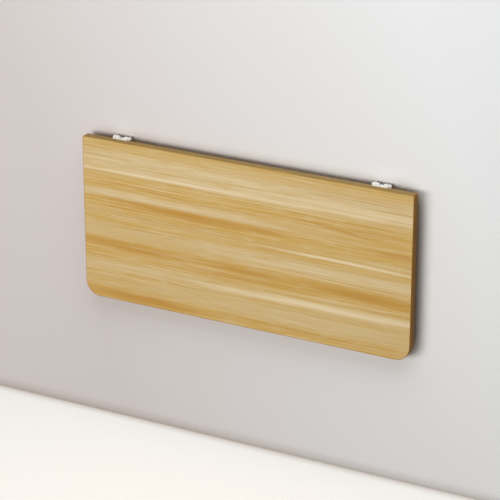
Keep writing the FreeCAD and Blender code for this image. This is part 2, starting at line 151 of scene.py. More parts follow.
# Finishes

@dataclass(frozen=True)
class Coat:
    """What a finish paints on its material.

    Attributes:
        colour: Output with the colour.
        uneven: Output that changes the roughness, where the finish lets it.
        height: Output with the relief's height, 0 to 1.
    """

    colour: Socket
    uneven: Socket
    height: Socket


@dataclass(frozen=True)
class Finish:
    """Base of the finishes: a principled surface that a subclass paints.

    Attributes:
        name: Name of the material.
        roughness: Roughness that the surface varies about.
        ior: Index of refraction.
        metallic: 1 for bare metal, 0 otherwise.
        gloss: Specular level; 0.5 is what the index of refraction gives.
        uneven: What is added to the roughness where the coat's unevenness is low, and where it is high.
        uneven_spread: What counts as low and as high.
        depth: Depth of the relief, in millimetres.
        relief: Share of the relief that shows.
    """

    name: str
    roughness: float
    ior: float = 1.5
    metallic: float = 0.0
    gloss: float = 0.5
    uneven: tuple[float, float] = (0.0, 0.0)
    uneven_spread: tuple[float, float] = (0.3, 0.7)
    depth: float = 0.02
    relief: float = 0.3

    def material(self) -> bpy.types.Material:
        """Make the material, or find it where another piece has it already.

        Returns:
            The material.
        """
        found = bpy.data.materials.get(self.name)
        if found is not None:
            return found
        made = bpy.data.materials.new(self.name)
        made.use_nodes = True
        tree = made.node_tree
        tree.nodes.clear()
        coat = self.paint(tree)
        rough = self.roughness
        if any(self.uneven):
            rough = add_node(tree, "ShaderNodeMapRange", {
                "Value": coat.uneven,
                "From Min": self.uneven_spread[0], "From Max": self.uneven_spread[1],
                "To Min": rough + self.uneven[0], "To Max": rough + self.uneven[1]}).outputs[0]
        bump = add_node(tree, "ShaderNodeBump", {
            "Height": coat.height, "Distance": self.depth * MM, "Strength": self.relief})
        shader = add_node(tree, "ShaderNodeBsdfPrincipled", {
            "Base Color": coat.colour, "Roughness": rough, "IOR": self.ior, "Metallic": self.metallic,
            "Specular IOR Level": self.gloss, "Normal": bump.outputs["Normal"]})
        add_node(tree, "ShaderNodeOutputMaterial", {"Surface": shader.outputs["BSDF"]})
        return made

    def paint(self, tree: Tree) -> Coat:
        """Paint the colour, unevenness and relief into a material's node tree."""
        raise NotImplementedError

    @staticmethod
    def pattern(tree: Tree, place: Socket, sizes: Sequence[float], inputs: dict[str, Any],
                shift: Sequence[float] = (0, 0, 0), kind: str = "ShaderNodeTexNoise") -> Node:
        """Texture whose features have a real size.

        Args:
            tree: Node tree of the material.
            place: Coordinates in metres.
            sizes: Size of a feature along x, y and z, in millimetres; 0 flattens an axis.
            inputs: Other inputs of the texture.
            shift: Where the texture is read, in features from the origin.
            kind: Type of the texture's node.

        Returns:
            The texture's node.
        """
        factors = [1 / (size * MM) if size else 0.0 for size in sizes]
        scaled = add_node(tree, "ShaderNodeVectorMath", {
            0: place, 1: factors, 2: shift}, operation="MULTIPLY_ADD")
        return add_node(tree, kind, {"Vector": scaled.outputs[0], "Scale": 1.0, **inputs})

    @staticmethod
    def lay(tree: Tree, colour: Any, tone: str, source: Socket,
            spread: tuple[float, float] = (0.0, 1.0), share: float = 1.0) -> Socket:
        """Lay a tone over a colour where a noise is high.

        Args:
            tree: Node tree of the material.
            colour: Colour so far, a linear value or an output.
            tone: Tone as #RRGGBB.
            source: Output with the noise.
            spread: Noise at which the tone starts, and at which it has its full share.
            share: How much of the tone shows there.

        Returns:
            Output with the new colour.
        """
        mask = add_node(tree, "ShaderNodeMapRange", {
            "Value": source, "From Min": spread[0], "From Max": spread[1], "To Max": share})
        mixed = add_node(tree, "ShaderNodeMix", {
            "Factor": mask.outputs[0], "A": colour, "B": linear(tone)}, data_type="RGBA")
        return mixed.outputs["Result"]


@dataclass(frozen=True)
class Streak:
    """One long streak of the printed grain: a slim ellipse along the leaf.

    Attributes:
        along: Middle along the leaf, in millimetres from the leaf's middle.
        level: Middle across the leaf, in millimetres from the hinge edge.
        half_length: Half of its length.
        half_width: Half of its width.
        fall: Fall towards the free edge over a metre of length, in millimetres.
        tone: Printed tone.
        share: How much of the tone shows.
    """

    along: float
    level: float
    half_length: float
    half_width: float
    fall: float
    tone: Tone
    share: float


@dataclass(frozen=True)
class FineLine:
    """One set of fine lines of the printed grain, drawn by a stretched noise.

    Attributes:
        length: Usual length of a line, in millimetres.
        width: Usual width of a line.
        tone: Printed tone.
        spread: Noise at which a line starts, and at which it has its full share.
        share: How much of the tone shows.
    """

    length: float
    width: float
    tone: Tone
    spread: tuple[float, float]
    share: float


@dataclass(frozen=True)
class WoodGrainLaminate(Finish):
    """Melamine laminate with a printed light ash grain, pressed satin with a fine pore relief.

    Broad pale and honey bands run the whole length, thin cream lines and brown streaks lie in them,
    and the satin surface gives a wide soft sheen.

    Attributes:
        top: Height of the hinge edge over the frame's origin, in millimetres.
        height: From the hinge edge to the free edge.
        sway: How far the grain wanders to either side.
        sway_sizes: Length and width over which it wanders, as x, y and z.
        fibre_sizes: Sizes of the fibres that break up the streaks.
        fibre_spread: Lowest and highest noise of the fibres that count.
        fibre_gain: What a streak is multiplied by at these two.
        pore_sizes: Sizes of the pores. Real pores are 0.2 mm wide; drawn 1.4 mm wide so that they show.
    """

    top: float = 60.0
    height: float = 380.0
    sway: float = 5.0
    sway_sizes: tuple[float, float, float] = (420, 0, 60)
    fibre_sizes: tuple[float, float, float] = (160, 0, 3.2)
    fibre_spread: tuple[float, float] = (0.3, 0.65)
    fibre_gain: tuple[float, float] = (0.7, 1.9)
    pore_sizes: tuple[float, float, float] = (34, 0, 1.4)

    # Distance from the hinge edge in millimetres, and the band's tone there
    BANDS = (
        (0, Tone.HONEY), (12, Tone.TAN), (25, Tone.TAN), (32, Tone.PALE), (60, Tone.PALE),
        (70, Tone.CREAM), (76, Tone.TAN), (88, Tone.HONEY), (106, Tone.HONEY), (120, Tone.PALE),
        (130, Tone.PALE), (135, Tone.HONEY), (158, Tone.HONEY), (170, Tone.TAN), (188, Tone.HONEY),
        (205, Tone.PALE), (216, Tone.PALE), (236, Tone.HONEY), (272, Tone.HONEY), (286, Tone.TAN),
        (297, Tone.PALE), (304, Tone.TAN), (345, Tone.TAN), (358, Tone.HONEY), (380, Tone.HONEY),
    )
    STREAKS = (
        Streak(-200, 70, 340, 3.4, -6, Tone.CREAM, 0.95),
        Streak(-130, 142, 250, 12, 18, Tone.BROWN, 0.95),
        Streak(60, 144, 80, 8, 10, Tone.BROWN, 0.65),
        Streak(-200, 103, 170, 4, 60, Tone.BROWN, 0.55),
        Streak(290, 114, 200, 5, 100, Tone.BROWN, 0.65),
        Streak(-300, 246, 220, 14, 30, Tone.BROWN, 0.75),
        Streak(0, 248, 150, 9, 20, Tone.BROWN, 0.85),
        Streak(0, 264, 240, 6, 5, Tone.BROWN, 0.55),
        Streak(330, 252, 260, 18, 20, Tone.BROWN, 0.85),
        Streak(370, 143, 100, 9, 15, Tone.BROWN, 0.75),
        Streak(240, 180, 250, 5.5, 12, Tone.CREAM, 0.95),
        Streak(190, 295, 360, 12, -8, Tone.CREAM, 0.95),
        Streak(-250, 366, 230, 14, 10, Tone.BROWN, 0.95),
        Streak(330, 123, 240, 14, 0, Tone.HONEY, 0.9),
        Streak(-150, 124, 330, 9, 20, Tone.CREAM, 0.3),
        Streak(300, 60, 340, 16, 0, Tone.CREAM, 0.5),
        Streak(370, 14, 120, 9, 0, Tone.HONEY, 0.7),
        Streak(90, 120, 110, 9, 8, Tone.HONEY, 0.6),
        Streak(0, 41, 240, 10, 5, Tone.CREAM, 0.35),
        Streak(-270, 215, 270, 20, 10, Tone.TAN, 0.7),
        Streak(220, 212, 300, 14, 10, Tone.CREAM, 0.2),
        Streak(120, 334, 460, 26, 0, Tone.PALE, 0.5),
    )
    LINES = (
        FineLine(300, 12, Tone.HONEY, (0.5, 0.7), 0.4),
        FineLine(260, 9, Tone.CREAM, (0.52, 0.72), 0.3),
        FineLine(420, 4.2, Tone.BROWN, (0.5, 0.68), 0.62),
        FineLine(380, 3.2, Tone.CREAM, (0.5, 0.68), 0.5),
        FineLine(240, 1.9, Tone.BROWN, (0.5, 0.68), 0.3),
        FineLine(80, 8, Tone.HONEY, (0.48, 0.68), 0.5),
        FineLine(60, 6, Tone.PALE, (0.5, 0.7), 0.55),
    )

    def paint(self, tree: Tree) -> Coat:
        """Sway the coordinates, lay the bands, then add fine lines, streaks and pores.

        Args:
            tree: Node tree of the material.

        Returns:
            What is painted.
        """
        place = add_node(tree, "ShaderNodeTexCoord").outputs["Object"]
        sway = self.pattern(tree, place, self.sway_sizes, {"Detail": 3.0, "Roughness": 0.4})
        lift = add_node(tree, "ShaderNodeMapRange", {
            "Value": sway.outputs["Fac"], "To Min": -self.sway * MM, "To Max": self.sway * MM})
        offset = add_node(tree, "ShaderNodeCombineXYZ", {"Z": lift.outputs[0]})
        grain = add_node(tree, "ShaderNodeVectorMath", {0: place, 1: offset.outputs[0]}).outputs[0]
        colour = self.fine_lines(tree, grain, self.bands(tree, grain))
        fibre = self.pattern(tree, grain, self.fibre_sizes, {"Detail": 2.0}).outputs["Fac"]
        for streak in self.STREAKS:
            colour = self.streak(tree, grain, fibre, colour, streak)
        pores = self.pattern(tree, grain, self.pore_sizes, {"Detail": 1.0}).outputs["Fac"]
        return Coat(colour, pores, pores)

    def bands(self, tree: Tree, grain: Socket) -> Socket:
        """Broad bands across the leaf by a colour ramp.

        Args:
            tree: Node tree of the material.
            grain: Swayed coordinates in metres.

        Returns:
            Output with the bands' colour.
        """
        level = add_node(tree, "ShaderNodeSeparateXYZ", {0: grain}).outputs["Z"]
        share = add_node(tree, "ShaderNodeMapRange", {
            "Value": level, "From Min": self.top * MM, "From Max": (self.top - self.height) * MM})
        ramp = add_node(tree, "ShaderNodeValToRGB", {"Fac": share.outputs[0]})
        stops = ramp.color_ramp.elements
        for stop in range(len(self.BANDS) - len(stops)):
            stops.new(stop / len(self.BANDS))
        for stop, (at, tone) in zip(stops, self.BANDS):
            stop.position = at / self.height
            stop.color = linear(tone.value)
        return ramp.outputs["Color"]

    def fine_lines(self, tree: Tree, grain: Socket,
                   colour: Socket) -> Socket:
        """Lines along the grain, 2 to 12 mm across: long ones, then short strokes that break them up.

        Args:
            tree: Node tree of the material.
            grain: Swayed coordinates in metres.
            colour: Colour so far.

        Returns:
            Output with the lined colour.
        """
        for line in self.LINES:
            # Each set reads the noise at a place of its own
            shift = (line.length, line.width, line.length + line.width)
            noise = self.pattern(tree, grain, (line.length, 0, line.width),
                                 {"Detail": 2.0, "Roughness": 0.6}, shift)
            colour = self.lay(tree, colour, line.tone.value, noise.outputs["Fac"],
                              line.spread, line.share)
        return colour

    def streak(self, tree: Tree, grain: Socket, fibre: Socket,
               colour: Socket, streak: Streak) -> Socket:
        """One streak: full tone along its middle, tapered to its ends, broken up by the fibres.

        Args:
            tree: Node tree of the material.
            grain: Swayed coordinates in metres.
            fibre: Fine noise along the grain.
            colour: Colour so far.
            streak: The streak.

        Returns:
            Output with the colour after the streak.
        """
        own = add_node(tree, "ShaderNodeMapping", {
            "Vector": grain, "Location": (streak.along * MM, 0, (self.top - streak.level) * MM),
            "Rotation": (0, math.atan(streak.fall * MM), 0),
            "Scale": (streak.half_length * MM, 1.0, streak.half_width * MM)}, vector_type="TEXTURE")
        flat = add_node(tree, "ShaderNodeVectorMath", {
            0: own.outputs[0], 1: (1, 0, 1)}, operation="MULTIPLY")
        falloff = add_node(tree, "ShaderNodeTexGradient", {
            "Vector": flat.outputs[0]}, gradient_type="SPHERICAL")
        broken = add_node(tree, "ShaderNodeMapRange", {
            "Value": fibre, "From Min": self.fibre_spread[0], "From Max": self.fibre_spread[1],
            "To Min": self.fibre_gain[0], "To Max": self.fibre_gain[1]})
        mask = add_node(tree, "ShaderNodeMath", {0: falloff.outputs["Fac"], 1: broken.outputs[0]},
                        operation="MULTIPLY", use_clamp=True)
        return self.lay(tree, colour, streak.tone.value, mask.outputs[0], share=streak.share)


@dataclass(frozen=True)
class EdgeBandPrint(Finish):
    """ABS edge band, extruded and printed brown: thin lines run along it, on a low and even gloss.

    Attributes:
        base: Colour of the band.
        dark: Tone of its dark stretches and lines.
        pale: Tone of its pale lines.
        slow_sizes: Length and width of a dark stretch, in millimetres.
        line_sizes: Length and width of a line. Real lines are finer; drawn 1.6 mm wide so that they show.
    """

    base: str = "#B4823F"
    dark: str = "#98692D"
    pale: str = "#C3944F"
    slow_sizes: tuple[float, float, float] = (140, 9, 0)
    line_sizes: tuple[float, float, float] = (90, 1.6, 0)

    def paint(self, tree: Tree) -> Coat:
        """Pale and dark lines along the band, over slow dark stretches.

        Args:
            tree: Node tree of the material.

        Returns:
            What is painted.
        """
        run = add_node(tree, "ShaderNodeUVMap", uv_map=BAND_MAP).outputs["UV"]
        slow = self.pattern(tree, run, self.slow_sizes, {"Detail": 1.0}).outputs["Fac"]
        lines = self.pattern(tree, run, self.line_sizes, {"Detail": 2.0}).outputs["Fac"]
        colour = linear(self.base)
        for source, tone, spread, share in (
                (slow, self.dark, (0.45, 0.7), 0.8), (lines, self.pale, (0.5, 0.72), 0.6),
                (lines, self.dark, (0.5, 0.3), 0.5)):
            colour = self.lay(tree, colour, tone, source, spread, share)
        return Coat(colour, lines, lines)


@dataclass(frozen=True)
class ParticleBoard(Finish):
    """Raw particle board: pressed flakes of soft wood, matt, each flake its own brown.

    Attributes:
        base: Palest flake.
        flake: Darkest flake.
        flake_sizes: Sizes of a flake, in millimetres.
    """

    base: str = "#B59468"
    flake: str = "#8F6D42"
    flake_sizes: tuple[float, float, float] = (4, 2, 4)

    def paint(self, tree: Tree) -> Coat:
        """Cells of one tone each, with a rough relief.

        Args:
            tree: Node tree of the material.

        Returns:
            What is painted.
        """
        place = add_node(tree, "ShaderNodeTexCoord").outputs["Object"]
        flakes = self.pattern(tree, place, self.flake_sizes, {}, kind="ShaderNodeTexVoronoi")
        mask = add_node(tree, "ShaderNodeSeparateColor", {"Color": flakes.outputs["Color"]})
        colour = self.lay(tree, linear(self.base), self.flake, mask.outputs["Red"])
        return Coat(colour, flakes.outputs["Distance"], flakes.outputs["Distance"])


@dataclass(frozen=True)
class PowderCoat(Finish):
    """White powder coat on steel sheet: warm white, semi-matt, with a soft orange-peel skin.

    Attributes:
        base: Colour of the coat.
        shade: Its darker patches.
        patch: Size of a patch, in millimetres.
        peel: Size of the orange peel's bumps.
    """

    base: str = "#F8F7F4"
    shade: str = "#F0EEEA"
    patch: float = 40.0
    peel: float = 1.2

    def paint(self, tree: Tree) -> Coat:
        """Orange peel over a slow change of tone.

        Args:
            tree: Node tree of the material.

        Returns:
            What is painted.
        """
        place = add_node(tree, "ShaderNodeTexCoord").outputs["Object"]
        slow = self.pattern(tree, place, [self.patch] * 3, {"Detail": 2.0}).outputs["Fac"]
        peel = self.pattern(tree, place, [self.peel] * 3, {"Detail": 1.0}).outputs["Fac"]
        return Coat(self.lay(tree, linear(self.base), self.shade, slow), peel, peel)


@dataclass(frozen=True)
class ZincPlate(Finish):
    """Bright zinc plated steel: cool grey metal with faint turning marks and cloudy gloss.

    Attributes:
        base: Colour of the plating.
        cloud: Its darker clouds.
        cloud_size: Size of a cloud, in millimetres.
        mark_sizes: Sizes of the turning marks, which run round the pins.
    """

    base: str = "#E3E5E7"
    cloud: str = "#CBD0D4"
    cloud_size: float = 6.0
    mark_sizes: tuple[float, float, float] = (0.5, 12, 12)

    def paint(self, tree: Tree) -> Coat:
        """Clouds in colour and gloss, and turning marks as relief.

        Args:
            tree: Node tree of the material.

        Returns:
            What is painted.
        """
        place = add_node(tree, "ShaderNodeTexCoord").outputs["Object"]
        clouds = self.pattern(tree, place, [self.cloud_size] * 3, {"Detail": 3.0}).outputs["Fac"]
        marks = self.pattern(tree, place, self.mark_sizes, {"Detail": 1.0}).outputs["Fac"]
        return Coat(self.lay(tree, linear(self.base), self.cloud, clouds), clouds, marks)


@dataclass(frozen=True)
class NaturalNylon(Finish):
    """Moulded natural nylon: milky white, waxy, with a faint moulded skin.

    Attributes:
        base: Milky white.
        warm: Its warmer patches.
        patch: Size of a patch, in millimetres.
        skin: Size of the skin's bumps.
    """

    base: str = "#F9F7F2"
    warm: str = "#F1EEE6"
    patch: float = 8.0
    skin: float = 0.8

    def paint(self, tree: Tree) -> Coat:
        """Milky patches under the moulded skin.

        Args:
            tree: Node tree of the material.

        Returns:
            What is painted.
        """
        place = add_node(tree, "ShaderNodeTexCoord").outputs["Object"]
        milk = self.pattern(tree, place, [self.patch] * 3, {"Detail": 2.0}).outputs["Fac"]
        skin = self.pattern(tree, place, [self.skin] * 3, {"Detail": 1.0}).outputs["Fac"]
        return Coat(self.lay(tree, linear(self.base), self.warm, milk), milk, skin)


FINISHES = {
    Slot.LAMINATE: WoodGrainLaminate(
        "melamine_wood_grain_laminate", roughness=0.46, gloss=0.35, uneven=(-0.06, 0.08),
        depth=0.06, relief=0.35),
    Slot.EDGE_BAND: EdgeBandPrint(
        "abs_wood_print_edge_band", roughness=0.5, ior=1.53, gloss=0.08, depth=0.05),
    Slot.BOARD: ParticleBoard("raw_particle_board", roughness=0.9, depth=0.4, relief=0.5),
    Slot.STEEL: PowderCoat(
        "white_powder_coated_steel", roughness=0.42, ior=1.52, uneven=(-0.05, 0.05),
        uneven_spread=(0.0, 1.0), depth=0.03, relief=0.4),
    Slot.PLATED: ZincPlate(
        "bright_zinc_plated_steel", roughness=0.32, metallic=1.0, uneven=(-0.08, 0.1)),
    Slot.NYLON: NaturalNylon("natural_white_nylon", roughness=0.4, ior=1.53),
}
# Painted light: the hinge edge's band is a duller, yellower copy of the free sides' print, which stands
# in for the greyer light that the top edge takes from the wall
HINGE_BAND_PAINTED_LIGHT = EdgeBandPrint(
    "abs_wood_print_edge_band_painted_light", roughness=0.5, ior=1.53, gloss=0.08, depth=0.05,
    base="#AE8D52", dark="#947540", pale="#BD9D61")


# Mesh tools

def grid_faces(rows: int, columns: int, wrap_rows: bool, wrap_columns: bool) -> np.ndarray:
    """Quads of a grid whose points are numbered row by row.

    Args:
        rows: Number of rows of points.
        columns: Number of points in a row.
        wrap_rows: Whether the last row joins the first.
        wrap_columns: Whether the last point of a row joins its first.

    Returns:
        Array of quads, four point numbers each.
    """
    row = np.arange(rows if wrap_rows else rows - 1)[:, None]
    column = np.arange(columns if wrap_columns else columns - 1)[None, :]
    next_row = (row + 1) % rows
    next_column = (column + 1) % columns
    corners = (row * columns + column, row * columns + next_column,
               next_row * columns + next_column, next_row * columns + column)
    return np.stack([np.broadcast_to(c, (row.size, column.size)).ravel() for c in corners], axis=1)


def make_piece(name: str, points: np.ndarray, faces: list[list[int]], smooth_angle: float = SHARP,
               uv: np.ndarray | None = None) -> Piece:
    """Put a grid surface into a mesh, close its seams and turn its faces outwards.

    Args:
        name: Name of the piece.
        points: Points in metres, one row each.
        faces: Faces by point numbers.
        smooth_angle: Edges sharper than this stay sharp, in degrees.
        uv: Two numbers per point for the band's UV map, or None.

    Returns:
        The new object, linked to the scene.
    """
    mesh = bpy.data.meshes.new(name)
    mesh.from_pydata(points.tolist(), [], faces)
    if uv is not None:
        corners = np.empty(len(mesh.loops), dtype=np.int32)
        mesh.loops.foreach_get("vertex_index", corners)
        mesh.uv_layers.new(name=BAND_MAP).data.foreach_set("uv", uv[corners].astype(np.float32).ravel())
    work = bmesh.new()
    work.from_mesh(mesh)
    bmesh.ops.remove_doubles(work, verts=work.verts, dist=WELD)
    bmesh.ops.dissolve_degenerate(work, edges=work.edges, dist=SLIVER)
    bmesh.ops.recalc_face_normals(work, faces=work.faces)
    work.to_mesh(mesh)
    work.free()
    return finish_mesh(name, mesh, smooth_angle)


def finish_mesh(name: str, mesh: bpy.types.Mesh, smooth_angle: float) -> Piece:
    """Shade a mesh smooth apart from its sharp edges and link it as an object.

    Args:
        name: Name of the object.
        mesh: The mesh.
        smooth_angle: Edges sharper than this stay sharp, in degrees.

    Returns:
        The new object.
    """
    mesh.polygons.foreach_set("use_smooth", np.ones(len(mesh.polygons), dtype=bool))
    mesh.set_sharp_from_angle(angle=math.radians(smooth_angle))
    made = bpy.data.objects.new(name, mesh)
    bpy.context.scene.collection.objects.link(made)
    return made


def join_shells(shells: Sequence[tuple[np.ndarray, np.ndarray]]) -> tuple[np.ndarray, list[list[int]]]:
    """Put several grids into one list of points and faces.

    Args:
        shells: Points and quads of each grid.

    Returns:
        All points, and all faces with their numbers moved up.
    """
    starts = np.cumsum([0] + [len(points) for points, _ in shells[:-1]])
    faces = np.concatenate([quads + start for start, (_, quads) in zip(starts, shells)])
    return np.concatenate([points for points, _ in shells]), faces.tolist()


def arc(centre: Sequence[float], radius: float, start: float, stop: float, steps: int) -> np.ndarray:
    """Points on an arc: centre plus radius times cosine and sine of an angle with even steps.

    Args:
        centre: Middle of the arc.
        radius: Radius.
        start: First angle in degrees.
        stop: Last angle in degrees.
        steps: Number of points.

    Returns:
        Array of points with two coordinates.
    """
    angle = np.radians(np.linspace(start, stop, steps))
    return np.asarray(centre) + radius * np.stack([np.cos(angle), np.sin(angle)], axis=1)


def turned(profile: np.ndarray, middle: Sequence[float], closed: bool,
           steps: int = 48) -> tuple[np.ndarray, np.ndarray]:
    """Surface of revolution about X: a point at (along, radius) goes round to
    (along, radius times cosine, radius times sine) of an angle from 0 to a full turn.

    Args:
        profile: Rows of along and radius, in millimetres.
        middle: Point of the axis that along is measured from, in metres.
        closed: Whether the profile's end joins its start, as for a ring.
        steps: Points round the axis.

    Returns:
        Points in metres and quads.
    """
    angle = np.linspace(0, 2 * np.pi, steps, endpoint=False)
    along = np.repeat(profile[:, :1], steps, axis=1)
    radius = profile[:, 1:]
    points = np.stack([along, radius * np.cos(angle), radius * np.sin(angle)], axis=2).reshape(-1, 3)
    return points * MM + np.asarray(middle), grid_faces(len(profile), steps, closed, True)


def dress(piece: Piece, body: Body, slot: Slot, *nodes: str,
          finish: Finish | None = None) -> None:
    """Give a new piece its finish and body, and let it stand for CAD nodes.

    Args:
        piece: The piece.
        body: Body that it rides on.
        slot: Slot that it takes its finish from.
        nodes: CAD nodes that it replaces.
        finish: Finish where it differs from the slot's own.
    """
    piece.data.materials.clear()
    piece.data.materials.append((finish or FINISHES[slot]).material())
    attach(piece, body.value)
    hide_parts(*nodes)
    LOG.info("%s rides on %s as %s", piece.name, body.value, slot.value)


def keep_node(name: str, slot: Slot) -> None:
    """Keep a CAD node and give it a finish.

    Args:
        name: Name of the node.
        slot: Slot whose finish it gets.
    """
    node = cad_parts[name]
    node.data.materials.clear()
    node.data.materials.append(FINISHES[slot].material())
    LOG.info("%s kept from the frame as %s", name, slot.value)


def middle_of(node: str) -> Vector:
    """Middle of a CAD node's box, in metres."""
    low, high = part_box(node)
    return (low + high) / 2


def size_of(node: str) -> Vector:
    """Size of a CAD node's box, in millimetres."""
    low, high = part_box(node)
    return (high - low) / MM


def points_of(node: str) -> np.ndarray:
    """Points of a CAD node's mesh.

    Args:
        node: Name of the node.

    Returns:
        Points in metres, one row each.
    """
    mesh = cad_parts[node].data
    places = np.empty(len(mesh.vertices) * 3, dtype=np.float32)
    mesh.vertices.foreach_get("co", places)
    return places.reshape(-1, 3)


def inner_reach(node: str) -> tuple[float, float]:
    """Least distances of a turned node's points from its middle along X, and from its axis, in mm."""
    away = (points_of(node) - np.asarray(middle_of(node))) / MM
    return float(np.abs(away[:, 0]).min()), float(np.hypot(away[:, 1], away[:, 2]).min())


# Leaf

@dataclass
class Leaf:
    """The leaf: laminates and core from the frame, with edge bands carried round its outline.

    Attributes:
        band: Thickness of the edge band, in millimetres.
        rounding: Radius of the band's long edges.
        free_corner: Corner radius at the free edge.
        hinge_corner: Corner radius at the hinge edge.
        run_steps: Points along the hinge edge.
        free_steps: Points on a corner at the free edge.
        hinge_steps: Points on a corner at the hinge edge.
        rounding_steps: Points on a rounded long edge.
    """

    band: float = 1.5
    rounding: float = 1.2
    free_corner: float = 35.0
    hinge_corner: float = 4.0
    run_steps: int = 41
    free_steps: int = 25
    hinge_steps: int = 9
    rounding_steps: int = 7

    def build(self) -> None:
        """Keep the flat layers and make the two edge bands."""
        keep_node("face_laminate", Slot.LAMINATE)
        keep_node("back_laminate", Slot.LAMINATE)
        keep_node("leaf_core", Slot.BOARD)
        low, high = (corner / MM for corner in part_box("edge_band_free_sides"))
        # The hinge edge's band gets the copy whose duller, yellower tone is painted light
        self.run("edge_band_hinge_side", self.hinge_path(low, high), HINGE_BAND_PAINTED_LIGHT)
        self.run("edge_band_free_sides", self.free_path(low, high), FINISHES[Slot.EDGE_BAND])

    def hinge_path(self, low: Vector, high: Vector) -> np.ndarray:
        """Straight run along the hinge edge, from the right corner to the left, as x and z.

        Args:
            low: Lowest corner of the bands, in millimetres.
            high: Highest corner of the bands.

        Returns:
            Path points.
        """
        along = np.linspace(high.x - self.hinge_corner, low.x + self.hinge_corner, self.run_steps)
        return np.stack([along, np.full_like(along, high.z)], axis=1)

    def free_path(self, low: Vector, high: Vector) -> np.ndarray:
        """Run from the left hinge corner down, along the free edge and up to the right hinge corner, as
        x and z: quarter circles joined by straight sides.

        Args:
            low: Lowest corner of the bands, in millimetres.
            high: Highest corner of the bands.

        Returns:
            Path points.
        """
        small = self.hinge_corner
        large = self.free_corner
        return np.concatenate([
            arc((low.x + small, high.z - small), small, 90, 180, self.hinge_steps),
            arc((low.x + large, low.z + large), large, 180, 270, self.free_steps),
            arc((high.x - large, low.z + large), large, 270, 360, self.free_steps),
            arc((high.x - small, high.z - small), small, 0, 90, self.hinge_steps),
        ])

    def section(self, front: float, back: float) -> np.ndarray:
        """Closed section of the band as distance outwards from the leaf's outline and y: a thin strip
        whose two outer edges are quarter circles.

        Args:
            front: y of the leaf's face, in millimetres.
            back: y of the leaf's back.

        Returns:
            Section points.
        """
        edge = self.rounding
        return np.concatenate([
            [(-self.band, front)],
            arc((-edge, front + edge), edge, 270, 360, self.rounding_steps),
            arc((-edge, back - edge), edge, 0, 90, self.rounding_steps),
            [(-self.band, back)],
        ])

    def run(self, name: str, path: np.ndarray, finish: Finish) -> None:
        """Carry the section along a path: point plus outward normal times the section's distance, at
        the section's y.

        Args:
            name: CAD node that the run stands for.
            path: Path points as x and z, with the leaf on the left of its direction.
            finish: Print of the band; for the hinge edge, a copy whose duller, yellower tone is painted
                light.
        """
        low, high = (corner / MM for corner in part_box(name))
        section = self.section(low.y, high.y)
        step = np.gradient(path, axis=0)
        step /= np.linalg.norm(step, axis=1, keepdims=True)
        outward = np.stack([step[:, 1], -step[:, 0]], axis=1)
        spread = path[:, None, :] + outward[:, None, :] * section[None, :, :1]
        level = np.broadcast_to(section[None, :, 1], spread.shape[:2])
        points = np.stack([spread[..., 0], level, spread[..., 1]], axis=2)
        along = np.concatenate([[0], np.cumsum(np.linalg.norm(np.diff(path, axis=0), axis=1))])
        around = np.concatenate([[0], np.cumsum(np.linalg.norm(np.diff(section, axis=0), axis=1))])
        uv = np.stack(np.meshgrid(along, around, indexing="ij"), axis=2)
        rows, columns = spread.shape[:2]
        faces = grid_faces(rows, columns, False, True).tolist()
        faces.append(list(range(columns)))
        faces.append(list(range((rows - 1) * columns, rows * columns)))
        piece = make_piece(f"{name}_run", points.reshape(-1, 3) * MM, faces, uv=uv.reshape(-1, 2) * MM)
        dress(piece, Body.LEAF, Slot.EDGE_BAND, name, finish=finish)


# Brackets

